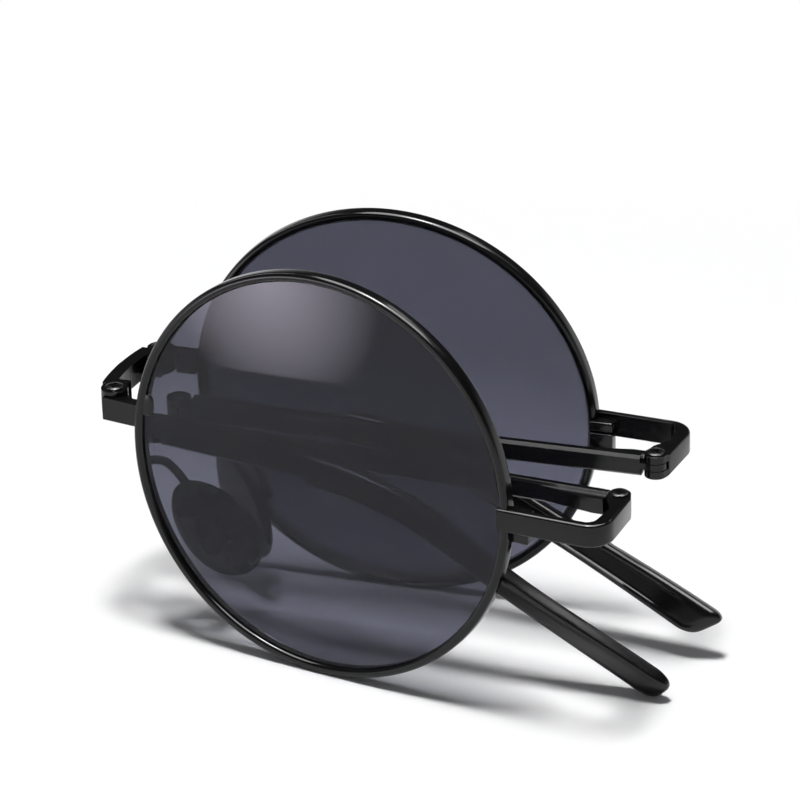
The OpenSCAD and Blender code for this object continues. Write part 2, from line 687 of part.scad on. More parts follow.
left_rim();
left_lens();
left_lock_screw();
left_bridge_arm();
left_bridge_screw();
left_endpiece();
left_temple_hinge_screw();
left_temple_front();
left_mid_hinge_screw();
left_temple_rear();
left_temple_tip();
left_pad_arm();
left_pad_pin();
left_nose_pad();
right_rim();
right_lens();
right_lock_screw();
right_bridge_arm();
right_bridge_screw();
right_endpiece();
right_temple_hinge_screw();
right_temple_front();
right_mid_hinge_screw();
right_temple_rear();
right_temple_tip();
right_pad_arm();
right_pad_pin();
right_nose_pad();
bridge_link();
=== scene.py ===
import json
import math

import bmesh
import bpy
import numpy as np
from bpy.props import FloatProperty, FloatVectorProperty, PointerProperty
from mathutils import Matrix, Vector

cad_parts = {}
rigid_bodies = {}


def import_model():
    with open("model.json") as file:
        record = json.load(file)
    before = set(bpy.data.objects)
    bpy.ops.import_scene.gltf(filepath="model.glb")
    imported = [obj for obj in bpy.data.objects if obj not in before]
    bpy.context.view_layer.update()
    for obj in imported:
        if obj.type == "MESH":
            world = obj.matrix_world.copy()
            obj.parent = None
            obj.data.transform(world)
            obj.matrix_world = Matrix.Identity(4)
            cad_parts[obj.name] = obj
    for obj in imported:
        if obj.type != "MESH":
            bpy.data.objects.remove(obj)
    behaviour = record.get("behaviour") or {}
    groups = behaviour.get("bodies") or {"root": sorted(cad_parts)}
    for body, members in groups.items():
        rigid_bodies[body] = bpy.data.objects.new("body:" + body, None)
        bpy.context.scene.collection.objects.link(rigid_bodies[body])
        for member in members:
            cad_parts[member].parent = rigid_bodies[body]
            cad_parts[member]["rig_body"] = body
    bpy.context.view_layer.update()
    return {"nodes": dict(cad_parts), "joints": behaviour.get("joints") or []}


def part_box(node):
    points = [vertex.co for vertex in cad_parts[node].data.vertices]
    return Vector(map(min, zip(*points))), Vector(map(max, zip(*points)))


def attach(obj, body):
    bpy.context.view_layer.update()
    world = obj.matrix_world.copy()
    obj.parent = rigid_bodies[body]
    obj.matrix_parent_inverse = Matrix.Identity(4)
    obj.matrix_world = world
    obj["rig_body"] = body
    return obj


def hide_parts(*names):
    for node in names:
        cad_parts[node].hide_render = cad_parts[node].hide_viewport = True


bl_info = {
    "name": "Folding round sunglasses",
    "version": (1, 0, 0),
    "blender": (4, 5, 0),
    "location": "View3D > Sidebar > Sunglasses",
    "description": "Finishes the packed frame of a pair of folding round sunglasses",
    "category": "Object",
}

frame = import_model()
NODES = frame["nodes"]
JOINTS = {j["name"]: j for j in frame["joints"]}
SIDES = (("left", -1), ("right", 1))
MM = 0.001


# Sizes and colours

def length(name, default_mm, text):
    """A length property whose default is given in millimetres."""
    return FloatProperty(name=name, description=text, default=default_mm * MM, unit="LENGTH", precision=5)


def angle(name, default_deg, text):
    """An angle property whose default is given in degrees."""
    return FloatProperty(name=name, description=text, default=math.radians(default_deg), unit="ROTATION")


def share(name, default, text):
    """A property between 0 and 1."""
    return FloatProperty(name=name, description=text, default=default, min=0, max=1, subtype="FACTOR")


def colour(name, default, text):
    """A colour property."""
    return FloatVectorProperty(name=name, description=text, default=default, min=0, max=1, size=3,
                               subtype="COLOR")


class SUNGLASSES_PG_sizes(bpy.types.PropertyGroup):
    rim_d: length("Rim diameter", 51.2, "Outer diameter of each round rim")
    rim_wire: length("Rim width", 1.2, "Width of the rim wire from the front")
    rim_depth: length("Rim depth", 1.9, "Depth of the rim wire from front to back")
    rim_round: length("Rim rounding", 0.5, "Radius of the rounded edges of the rim wire")
    packed_round: length("Packed rim rounding", 0.45, "Radius of the packed rim's edges, on which it stands")
    lens_inset: length("Lens inset", 0.5, "Distance of the lens edge behind the front of the rim")
    lens_t: length("Lens thickness", 1.1, "Thickness of each lens")
    lens_dome: length("Lens dome", 1.0, "Rise of the lens face at its middle")
    lens_gap: length("Lens gap", 0.03, "Gap between the lens face's edge and the rim")
    lens_edge: length("Lens edge", 0.34, "Reach of the lens's pointed edge into the groove")
    lens_lean: angle("Lens lean", 2.4, "Lean of the lens tops towards each other")
    fold_angle: angle("Fold angle", 11.5, "Angle between the folded lenses")
    bridge_reach: length("Bridge reach", 4.15, "Distance from the rim's edge to the bridge pin")
    bridge_back: length("Bridge setback", 1.8, "Distance of the bridge pin behind the lens plane")
    bridge_z: length("Bridge block level", 0.9, "Height of the bridge blocks above the lens centre")
    bridge_h: length("Bridge block height", 2.95, "Height of the bridge blocks")
    lug_h: length("Lug height", 3.0, "Height of the lug inside the rim at the bridge")
    lug_rise: length("Lug rise", 0.45, "Height of the lug's middle above the bridge block's top")
    lug_reach: length("Lug reach", 0.85, "Reach of the lug's rounded end")
    hinge_reach: length("Hinge reach", 9.5, "Distance from the rim's edge to the temple hinge pin")
    hinge_back: length("Hinge setback", 8.8, "Distance of the temple hinge pin behind the lens plane")
    strip_z: length("Strip height", 0.25, "Height of the endpiece's middle above the lens centre")
    strip_proud: length("Strip stand", 0.3, "Distance of the strip's front ahead of the rim's front")
    strip_sweep: angle("Strip sweep", 4.5, "Angle by which the strip sweeps back")
    slit: length("Slit", 0.3, "Width of the slit in the rim")
    slit_drop: length("Slit drop", 0.45, "Distance of the slit below the strip's middle")
    jaw_seat: length("Jaw seat", 1.08, "Distance of the closing block behind the strip's front")
    jaw_t: length("Jaw thickness", 1.64, "Thickness of the closing block")
    jaw_out: length("Jaw reach", 2.1, "Reach of the closing block beyond the rim's edge")
    jaw_up: length("Upper jaw", 1.35, "Height of the closing block above the slit")
    jaw_down: length("Lower jaw", 2.6, "Height of the closing block below the slit")
    front_length: length("Front length", 61.6, "Distance from the temple hinge to the mid hinge")
    rear_straight: length("Rear straight", 21.5, "Straight part behind the mid hinge")
    bar_t: length("Bar thickness", 1.4, "Thickness of the temple bars")
    bar_out: length("Bar offset", 1.2, "Distance from the hinge pin to the bar's outer face")
    fold_gap: length("Fold gap", 0.3, "Gap between the two halves of a folded temple")
    droop: angle("Droop", 1.8, "Fall of the temple along its length")
    temple_in: angle("Temple angle", 3.2, "Angle between the folded temple and its lens")
    right_open: angle("Right opening", 3.5, "Opening of the right mid hinge")
    left_bend: angle("Left bend", 31.5, "Bend of the left ear part")
    right_bend: angle("Right bend", 24.5, "Bend of the right ear part")
    bend_r: length("Bend radius", 35, "Radius of the ear bend")
    tip_curve: length("Tip curve", 3.8, "Curve of the tips towards the head")
    sleeve_h: length("Sleeve height", 4.0, "Height of the sleeve at the bend")
    sleeve_end_h: length("Sleeve end height", 3.4, "Height of the sleeve near its end")
    sleeve_t: length("Sleeve thickness", 2.2, "Thickness of the sleeve")
    channel_d: length("Channel depth", 0.3, "Depth of the channel along the sleeve's inner face")
    channel_w: share("Channel width", 0.66, "Share of the sleeve's height that the channel takes up")
    channel_start: length("Channel start", 2.0, "Distance of the channel from the sleeve's open end")
    channel_end: length("Channel end", 2.2, "Distance of the channel from the sleeve's rounded end")
    tip_twist: angle("Tip twist", 19, "Twist of the sleeve about its own length at its end")
    right_slant: angle("Right tip slant", 33, "Slant of the right sleeve's end")
    left_slant: angle("Left tip slant", 8, "Slant of the left sleeve's end")
    right_round: length("Right tip rounding", 2.0, "Length of the rounded end of the right sleeve")
    left_round: length("Left tip rounding", 2.6, "Length of the rounded end of the left sleeve")
    tip_h: length("Tip height", 4.2, "Height of the sleeve at its end")
    tip_more: length("Tip overrun", 0.4, "Length of the sleeve beyond the packed one")
    left_lift: length("Left tip lift", 0.93, "Rise of the left sleeve's end above the packed one")
    right_lift: length("Right tip lift", 0.25, "Rise of the right sleeve's end above the packed one")
    pad_l: length("Pad length", 14.8, "Length of each nose pad")
    pad_w: length("Pad width", 8.6, "Width of each nose pad")
    pad_t: length("Pad thickness", 1.9, "Thickness of each nose pad")
    pad_x: length("Pad place", 18.4, "Distance of the pad from the lens centre towards the bridge")
    pad_drop: length("Pad drop", 13.2, "Distance of the pad below the lens centre")
    pad_back: length("Pad setback", 5.85, "Distance of the pad behind the lens plane")
    pad_turn: angle("Pad turn", 36, "Turn of the pad's face towards the nose")
    pad_splay: angle("Pad splay", 36, "Splay of the pad's long axis")
    arm_d: length("Pad wire", 1.1, "Thickness of the nose pad's wire")
    tab_w: length("Pad tab width", 1.1, "Width of the tab behind each nose pad")
    tab_r: length("Pad tab radius", 0.8, "Radius of the tab behind each nose pad")
    tab_back: length("Pad tab setback", 1.15, "Distance of the tab's middle behind the pad")
    box_h: length("Pad box height", 2.0, "Height of the box that holds the pad's tab")
    box_gap: length("Pad box gap", 0.15, "Gap between the tab and the box's cheeks")
    box_wall: length("Pad box wall", 0.6, "Thickness of the box's cheeks and back")
    screw_r: length("Screw radius", 0.55, "Radius of the hinge screws")
    head_r: length("Screw head radius", 1.1, "Radius of the heads of the hinge screws")
    head_h: length("Screw head height", 0.3, "Height of the heads of the hinge screws")
    link_edge: length("Link edges", 0.16, "Rounding of the bridge link's edges")
    block_edge: length("Block edges", 0.13, "Rounding of the bridge blocks' edges")
    jaw_edge: length("Jaw edges", 0.14, "Rounding of the closing blocks' edges")
    bow_edge: length("Outer endpiece edges", 0.36, "Rounding of the endpieces' outer edges")
    strip_edge: length("Inner endpiece edges", 0.2, "Rounding of the endpieces' other edges")
    bar_edge: length("Front bar edges", 0.22, "Rounding of the front temple bars' edges")
    arm_edge: length("Rear bar edges", 0.2, "Rounding of the rear temple bars' edges")
    neck_edge: length("Pad neck edges", 0.08, "Rounding of the edges of the neck behind each pad")
    box_edge: length("Pad box edges", 0.12, "Rounding of the pad boxes' edges")
    head_edge: length("Screw head edges", 0.035, "Rounding of the screw heads' edges")
    lock_edge: length("Lock screw edges", 0.06, "Rounding of the lock screws' edges")
    pin_edge: length("Pad pin edges", 0.05, "Rounding of the pad pins' edges")


class SUNGLASSES_PG_colours(bpy.types.PropertyGroup):
    lacquer: colour("Lacquer", (0.0035, 0.0035, 0.0037), "Black lacquer of the metal parts")
    screws: colour("Screws", (0.005, 0.005, 0.0055), "Blackened steel of the screws")
    sleeve: colour("Sleeves", (0.004, 0.004, 0.0043), "Black plastic of the temple tips")
    pad: colour("Nose pads", (0.012, 0.012, 0.013), "Smoke-coloured nose pads")
    lens: colour("Lens", (0.0065, 0.0068, 0.011), "Dark body of the lenses")
    lens_tint: colour("Lens tint", (0.85, 0.86, 1.0), "Colour of the light that passes one face of a lens")
    lens_low: share("Lens light below", 0.145, "Share of the light that passes the lower part of a lens")
    lens_top: share("Lens light above", 0.095, "Share of the light that passes the top of a lens")
    floor: colour("Floor", (0.93, 0.93, 0.935), "Pale floor")


def sizes():
    """The sizes set in the scene."""
    return bpy.context.scene.sunglasses_sizes


def colours():
    """The colours set in the scene."""
    return bpy.context.scene.sunglasses_colours


# Places, as 4x4 matrices in metres, each the same as in the part's source

def turn_z(a):
    """A turn about Z."""
    return Matrix.Rotation(a, 4, "Z")


def lens_height():
    """Height of the lens centre above the floor that the leaning rim stands on."""
    s = sizes()
    across, deep = s.rim_d / 2 - s.packed_round, s.rim_depth / 2 - s.packed_round
    return across * math.cos(s.lens_lean) + deep * math.sin(s.lens_lean) + s.packed_round


def half(side):
    """Frame of one half: lens centre at the origin, X away from the bridge, Y outwards, Z up."""
    s = sizes()
    pin = JOINTS["right_bridge_hinge"]["pos_m"]
    m = (Matrix.Translation((pin[0], pin[1], lens_height())) @ turn_z(s.fold_angle / 2)
         @ Matrix.Translation((s.rim_d / 2 + s.bridge_reach, s.bridge_back, 0)))
    return Matrix.Scale(-1, 4, (0, 1, 0)) @ m if side < 0 else m


def leaned(side):
    """Frame of a half's rim and lens, with their lean."""
    return half(side) @ Matrix.Rotation(sizes().lens_lean, 4, "X")


def at_hinge(side):
    """Frame at the temple hinge, with X along the folded bar."""
    s = sizes()
    return (half(side) @ Matrix.Translation((s.rim_d / 2 + s.hinge_reach, -s.hinge_back, s.strip_z))
            @ turn_z(math.pi - s.temple_in))


def mid_y():
    """Place of the mid hinge across the bar, measured from the temple hinge."""
    s = sizes()
    return s.bar_out - s.bar_t - s.fold_gap / 2


def at_mid(side):
    """Frame at the mid hinge."""
    s = sizes()
    return at_hinge(side) @ Matrix.Translation((s.front_length, mid_y(), -s.front_length * math.tan(s.droop)))


def at_rear(side):
    """Frame of the rear bar, with X along it."""
    return at_mid(side) @ turn_z(math.pi + (sizes().right_open if side > 0 else 0))


def at_pad(side):
    """Frame at the middle of a nose pad."""
    s = sizes()
    return (leaned(side) @ Matrix.Translation((-s.pad_x, -s.pad_back, -s.pad_drop))
            @ turn_z(-s.pad_turn) @ Matrix.Rotation(-s.pad_splay, 4, "Y"))


# Meshes

def mesh_from(name, verts, faces, matrix):
    """A closed mesh in a frame given by a matrix, with its faces pointing outwards."""
    bm = bmesh.new()
    made = [bm.verts.new(matrix @ Vector(v)) for v in verts]
    for f in faces:
        bm.faces.new([made[i] for i in f])
    bmesh.ops.remove_doubles(bm, verts=bm.verts, dist=0.0001 * MM)
    bmesh.ops.recalc_face_normals(bm, faces=bm.faces)
    me = bpy.data.meshes.new(name)
    bm.to_mesh(me)
    bm.free()
    return me


def loft(rings):
    """Vertices and faces through rings of the same number of points, closed at both ends."""
    n = len(rings[0])
    verts = [p for r in rings for p in r]
    faces = [(j * n + i, j * n + (i + 1) % n, (j + 1) * n + (i + 1) % n, (j + 1) * n + i)
             for j in range(len(rings) - 1) for i in range(n)]
    faces += [tuple(range(n - 1, -1, -1)), tuple((len(rings) - 1) * n + i for i in range(n))]
    return verts, faces


def turned(profile, steps):
    """Vertices and faces of a profile of (radius, height) pairs turned about Z, closed at both poles."""
    verts, faces = [], []
    n = len(profile)
    for i in range(steps):
        a = 2 * math.pi * i / steps
        verts += [(r * math.cos(a), r * math.sin(a), h) for r, h in profile]
    for i in range(steps):
        k = (i + 1) % steps
        faces += [(i * n + j, k * n + j, k * n + j + 1, i * n + j + 1) for j in range(n - 1)]
    return verts, faces


def box_parts(lo, hi):
    """Vertices and faces of a plain box."""
    x0, y0, z0 = lo
    x1, y1, z1 = hi
    verts = [(x0, y0, z0), (x1, y0, z0), (x1, y1, z0), (x0, y1, z0),
             (x0, y0, z1), (x1, y0, z1), (x1, y1, z1), (x0, y1, z1)]
    faces = [(3, 2, 1, 0), (4, 5, 6, 7), (0, 1, 5, 4), (1, 2, 6, 5), (2, 3, 7, 6), (3, 0, 4, 7)]
    return verts, faces


def rounded_box(lo, hi, radius, matrix):
    """Box with rounded edges, in a frame given by a matrix."""
    me = mesh_from("block", *box_parts(lo, hi), matrix)
    bm = bmesh.new()
    bm.from_mesh(me)
    bmesh.ops.bevel(bm, geom=bm.edges, offset=radius, segments=4, profile=0.5, affect="EDGES",
                    clamp_overlap=True)
    bm.to_mesh(me)
    bm.free()
    return me


def joined(name, meshes):
    """Several meshes as one."""
    bm = bmesh.new()
    for me in meshes:
        bm.from_mesh(me)
    me = bpy.data.meshes.new(name)
    bm.to_mesh(me)
    bm.free()
    return me


def squircle(angle_at, power):
    """Point of a superellipse of half-width 1 at an angle."""
    c, q = math.cos(angle_at), math.sin(angle_at)
    k = (abs(c) ** power + abs(q) ** power) ** (-1 / power)
    return k * c, k * q


def smooth_step(x):
    """Smooth rise from 0 to 1, with x held between them."""
    x = min(1, max(0, x))
    return x * x * (3 - 2 * x)


def smooth_route(points, steps):
    """A smooth curve through the points, with a number of steps between each two."""
    out = []
    for i in range(len(points) - 1):
        a, b, c, d = points[max(0, i - 1)], points[i], points[i + 1], points[min(len(points) - 1, i + 2)]
        for k in range(steps):
            t = k / steps
            out.append(0.5 * (2 * b + (c - a) * t + (2 * a - 5 * b + 4 * c - d) * t * t
                              + (3 * b - a - 3 * c + d) * t ** 3))
    return out + [points[-1]]


def piece(name, me, material, body, stands_for, limit):
    """A finished piece: its mesh, finish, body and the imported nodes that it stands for.

    Edges between faces that meet above the limit, in degrees, stay sharp."""
    me.shade_smooth()
    me.set_sharp_from_angle(angle=math.radians(limit))
    me.name = name
    me.materials.clear()
    me.materials.append(material)
    o = bpy.data.objects.new(name, me)
    bpy.context.scene.collection.objects.link(o)
    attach(o, body)
    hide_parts(*stands_for)
    return o


def cad_copy(node):
    """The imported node's mesh, merged, with its flat faces made whole."""
    flat = math.radians(0.4)
    src = NODES[node].data
    bm = bmesh.new()
    bm.from_mesh(src)
    bmesh.ops.remove_doubles(bm, verts=bm.verts, dist=0.002 * MM)
    bmesh.ops.dissolve_degenerate(bm, edges=bm.edges, dist=0.001 * MM)
    bmesh.ops.dissolve_limit(bm, angle_limit=flat, verts=bm.verts, edges=bm.edges)
    bm.verts.index_update()
    me = bpy.data.meshes.new(node + "_finish")
    me.from_pydata([v.co[:] for v in bm.verts], [], [[v.index for v in f.verts] for f in bm.faces])
    bm.free()
    return me


def rounded(o, width, limit=32, segments=3):
    """A live Bevel on a piece's sharp edges."""
    b = o.modifiers.new("Rounded edges", "BEVEL")
    b.width, b.segments, b.limit_method = width, segments, "ANGLE"
    b.angle_limit = math.radians(limit)
    b.use_clamp_overlap, b.harden_normals = True, True
    b.miter_outer = "MITER_ARC"
    return o


def round_edges(me, chosen, width):
    """Rounds the edges of a mesh that a test picks from their two faces and middle point."""
    bm = bmesh.new()
    bm.from_mesh(me)
    bm.normal_update()
    edges = [e for e in bm.edges if len(e.link_faces) == 2
             and chosen(e.link_faces[0].normal, e.link_faces[1].normal, (e.verts[0].co + e.verts[1].co) / 2)]
    if not edges:
        raise RuntimeError("no edge to round")
    bmesh.ops.bevel(bm, geom=edges, offset=width, segments=5, profile=0.5, affect="EDGES",
                    clamp_overlap=False)
    bm.to_mesh(me)
    bm.free()
    return me


def dressed(node, name, material, width, limit=32):
    """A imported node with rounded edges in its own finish."""
    o = piece(name, cad_copy(node), material, NODES[node]["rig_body"], [node], limit)
    return rounded(o, width, limit)


# Node trees for shapes

def shape_tree(name, inputs):
    """A Geometry Nodes tree with named inputs: the tree, its two end nodes and the sockets' identifiers."""
    tree = bpy.data.node_groups.new(name, "GeometryNodeTree")
    tree.interface.new_socket("Geometry", in_out="INPUT", socket_type="NodeSocketGeometry")
    ids = {}
    for key, kind in inputs:
        socket = tree.interface.new_socket(key, in_out="INPUT", socket_type="NodeSocket" + kind)
        ids[key] = socket.identifier
    tree.interface.new_socket("Geometry", in_out="OUTPUT", socket_type="NodeSocketGeometry")
    return tree, tree.nodes.new("NodeGroupInput"), tree.nodes.new("NodeGroupOutput"), ids


def add(tree, kind, links=None, **values):
    """A node with its inputs set or linked by name or number, and its properties by their names."""
    n = tree.nodes.new(kind)
    for key, value in values.items():
        setattr(n, key, value)
    for key, value in (links or {}).items():
        if isinstance(value, bpy.types.NodeSocket):
            tree.links.new(value, n.inputs[key])
        else:
            n.inputs[key].default_value = value
    return n


def finish_tree(tree, geometry, given, output):
    """Ends a tree: real geometry with the material that the tree is given."""
    real = add(tree, "GeometryNodeRealizeInstances", {"Geometry": geometry})
    coated = add(tree, "GeometryNodeSetMaterial", {"Geometry": real.outputs[0],
                                                   "Material": given.outputs["Material"]})
    tree.links.new(coated.outputs[0], output.inputs[0])


def run_tree(tree, ids, values, base=None):
    """The tree's result as a plain mesh."""
    o = bpy.data.objects.new("shape", base or bpy.data.meshes.new("shape"))
    bpy.context.scene.collection.objects.link(o)
    m = o.modifiers.new("Shape", "NODES")
    m.node_group = tree
    for key, value in values.items():
        m[ids[key]] = value
    me = bpy.data.meshes.new_from_object(o.evaluated_get(bpy.context.evaluated_depsgraph_get()))
    o.modifiers.remove(m)
    bpy.data.objects.remove(o)
    return me


def outward(me, matrix=None):
    """Moves a mesh to its place and points its faces outwards."""
    bm = bmesh.new()
    bm.from_mesh(me)
    if matrix:
        bm.transform(matrix)
    bmesh.ops.remove_doubles(bm, verts=bm.verts, dist=0.0001 * MM)
    bmesh.ops.recalc_face_normals(bm, faces=bm.faces)
    bm.to_mesh(me)
    bm.free()
    return me


def rim_tree():
    """Ring of rounded rectangular wire, open at the slit of the closing block."""
    tree, given, out, ids = shape_tree("Rim ring", [
        ("Radius", "Float"), ("Width", "Float"), ("Depth", "Float"), ("Rounding", "Float"),
        ("Start", "Float"), ("Sweep", "Float"), ("Material", "Material")])
    g = given.outputs
    arc = add(tree, "GeometryNodeCurveArc", {"Resolution": 384, "Radius": g["Radius"],
                                             "Start Angle": g["Start"], "Sweep Angle": g["Sweep"]})
    rect = add(tree, "GeometryNodeCurvePrimitiveQuadrilateral", {"Width": g["Width"], "Height": g["Depth"]})
    fillet = add(tree, "GeometryNodeFilletCurve", {"Curve": rect.outputs[0], "Radius": g["Rounding"]},
                 mode="POLY")
    for socket in fillet.inputs:
        if socket.name == "Count":
            socket.default_value = 7
        if socket.name == "Limit Radius":
            socket.default_value = True
    tube = add(tree, "GeometryNodeCurveToMesh", {"Curve": arc.outputs[0], "Profile Curve": fillet.outputs[0],
                                                 "Fill Caps": True})
    finish_tree(tree, tube.outputs[0], given, out)
    return tree, ids


def wire_tree():
    """Round wire along the edges that it is given."""
    tree, given, out, ids = shape_tree("Round wire", [("Radius", "Float"), ("Material", "Material")])
    g = given.outputs
    path = add(tree, "GeometryNodeMeshToCurve", {"Mesh": g["Geometry"]})
    ring = add(tree, "GeometryNodeCurvePrimitiveCircle", {"Resolution": 24, "Radius": g["Radius"]})
    tube = add(tree, "GeometryNodeCurveToMesh", {"Curve": path.outputs[0], "Profile Curve": ring.outputs[0],
                                                 "Fill Caps": True})
    finish_tree(tree, tube.outputs[0], given, out)
    return tree, ids


def screw_tree():
    """Screws with a domed head and a cross recess, one standing on each point that it is given."""
    tree, given, out, ids = shape_tree("Cross-head screw", [
        ("Radius", "Float"), ("Length", "Float"), ("Head radius", "Float"), ("Head height", "Float"),
        ("Recess", "Float"), ("Material", "Material")])
    g = given.outputs

    def sums(op, a, b):
        """The result of a sum with two values."""
        return add(tree, "ShaderNodeMath", {0: a, 1: b}, operation=op).outputs[0]

    def lifted(shape, z):
        """A shape moved up."""
        up = add(tree, "ShaderNodeCombineXYZ", {"Z": z}).outputs[0]
        return add(tree, "GeometryNodeTransform", {"Geometry": shape, "Translation": up}).outputs[0]

    def cone(r0, r1, h, z):
        """A cone or cylinder that stands at a height."""
        shape = add(tree, "GeometryNodeMeshCone", {"Vertices": 40, "Radius Bottom": r0, "Radius Top": r1,
                                                   "Depth": h})
        return lifted(shape.outputs["Mesh"], z)

    shank = cone(g["Radius"], g["Radius"], g["Length"], 0.0)
    lower = sums("MULTIPLY", g["Head height"], 0.6)
    upper = sums("MULTIPLY", g["Head height"], 0.4)
    brim = sums("MULTIPLY", g["Head radius"], 0.8)
    head = cone(g["Head radius"], g["Head radius"], lower, g["Length"])
    dome = cone(g["Head radius"], brim, upper, sums("ADD", g["Length"], lower))
    body = add(tree, "GeometryNodeMeshBoolean", operation="UNION")
    tree.links.new(shank, body.inputs["Mesh 2"])
    tree.links.new(head, body.inputs["Mesh 2"])
    tree.links.new(dome, body.inputs["Mesh 2"])
    top = sums("ADD", g["Length"], g["Head height"])
    long = sums("MULTIPLY", g["Head radius"], 1.15)
    wide = sums("MULTIPLY", g["Head radius"], 0.3)
    bars = []
    for x, y in ((long, wide), (wide, long)):
        deep = sums("MULTIPLY", g["Recess"], 2.0)
        size = add(tree, "ShaderNodeCombineXYZ", {"X": x, "Y": y, "Z": deep}).outputs[0]
        cube = add(tree, "GeometryNodeMeshCube", {"Size": size})
        bars.append(lifted(cube.outputs["Mesh"], top))
    cut = add(tree, "GeometryNodeMeshBoolean", operation="DIFFERENCE")
    tree.links.new(body.outputs["Mesh"], cut.inputs["Mesh 1"])
    for b in bars:
        tree.links.new(b, cut.inputs["Mesh 2"])
    points = add(tree, "GeometryNodeMeshToPoints", {"Mesh": g["Geometry"]})
    placed = add(tree, "GeometryNodeInstanceOnPoints", {"Points": points.outputs[0],
                                                        "Instance": cut.outputs["Mesh"]})
    finish_tree(tree, placed.outputs[0], given, out)
    return tree, ids


# Finishes

def shader(name):
    """A new material with its tree and its Principled node."""
    m = bpy.data.materials.new(name)
    m.use_nodes = True
    t = m.node_tree
    return m, t, t.nodes["Principled BSDF"]


def noise(t, scale, detail, rough, at):
    """Noise from 0 to 1."""
    return add(t, "ShaderNodeTexNoise", {"Vector": at, "Scale": scale, "Detail": detail,
                                         "Roughness": rough}).outputs["Fac"]


def spread(t, value, low, high, from_low=0.3, from_high=0.7):
    """A value taken from one range to another."""
    return add(t, "ShaderNodeMapRange", {"Value": value, "From Min": from_low, "From Max": from_high,
                                         "To Min": low, "To Max": high}).outputs["Result"]


def blend_colour(t, value, a, b):
    """A colour between two."""
    return add(t, "ShaderNodeMix", {"Factor": value, "A": (*a, 1), "B": (*b, 1)},
               data_type="RGBA").outputs["Result"]


def blend_shaders(t, value, first, second):
    """A mix of two shaders as the material's surface."""
    mix = add(t, "ShaderNodeMixShader", {"Fac": value, 1: first.outputs[0], 2: second.outputs[0]})
    t.links.new(mix.outputs[0], t.nodes["Material Output"].inputs["Surface"])


def painted(name, base, gloss, grain, bump, lift=1.5, ior=1.5):
    """Sprayed finish: fine orange peel, cloudy gloss and slightly uneven black."""
    m, t, b = shader(name)
    at = t.nodes.new("ShaderNodeTexCoord").outputs["Object"]
    cloud = noise(t, 140, 3, 0.55, at)
    fine = noise(t, grain * 3, 2, 0.5, at)
    dark = [c * 0.75 for c in base]
    light = [min(1, c * lift) for c in base]
    peel = add(t, "ShaderNodeBump", {"Strength": bump, "Distance": 0.02 * MM,
                                     "Height": noise(t, grain, 2, 0.4, at)})
    t.links.new(blend_colour(t, spread(t, cloud, 0, 1), dark, light), b.inputs["Base Color"])
    t.links.new(spread(t, fine, *gloss), b.inputs["Roughness"])
    t.links.new(peel.outputs["Normal"], b.inputs["Normal"])
    b.inputs["IOR"].default_value = ior
    return m


def lens_glass():
    """Tinted lens: dark body that lets a little light through, with faint unevenness in its tint."""
    c = colours()
    m, t, b = shader("Smoke lens")
    at = t.nodes.new("ShaderNodeTexCoord").outputs["Object"]
    cloud = noise(t, 60, 2, 0.4, at)
    low = [v * 0.9 for v in c.lens]
    high = [v * 1.12 for v in c.lens]
    t.links.new(blend_colour(t, spread(t, cloud, 0, 1), low, high), b.inputs["Base Color"])
    t.links.new(spread(t, noise(t, 25, 2, 0.5, at), 0.02, 0.03), b.inputs["Roughness"])
    b.inputs["IOR"].default_value = 1.42
    # the tint deepens between these two heights above the floor
    pale, deep = 18 * MM, 33 * MM
    height = add(t, "ShaderNodeSeparateXYZ", {0: at}).outputs["Z"]
    # light passes two faces, so each lets the square root through
    passed = spread(t, height, c.lens_low ** 0.5, c.lens_top ** 0.5, pale, deep)
    clear = add(t, "ShaderNodeBsdfTransparent", {"Color": (*c.lens_tint, 1)})
    blend_shaders(t, passed, b, clear)
    return m


FINISHES = {}


def finish(name):
    """The shared finish of that name, made once."""
    if name not in FINISHES:
        c = colours()
        FINISHES[name] = {
            "lacquer": lambda: painted("Black lacquer", c.lacquer, (0.12, 0.18), 700, 0.04, ior=1.38),
            "lens": lens_glass,
            "screw": lambda: painted("Blackened steel", c.screws, (0.17, 0.26), 1500, 0.08, 1.8, 1.42),
            "sleeve": lambda: painted("Satin black plastic", c.sleeve, (0.16, 0.24), 1100, 0.06, ior=1.42),
            "pad": lambda: painted("Smoke nose pad", c.pad, (0.16, 0.26), 600, 0.06),
        }[name]()
    return FINISHES[name]


# Pieces

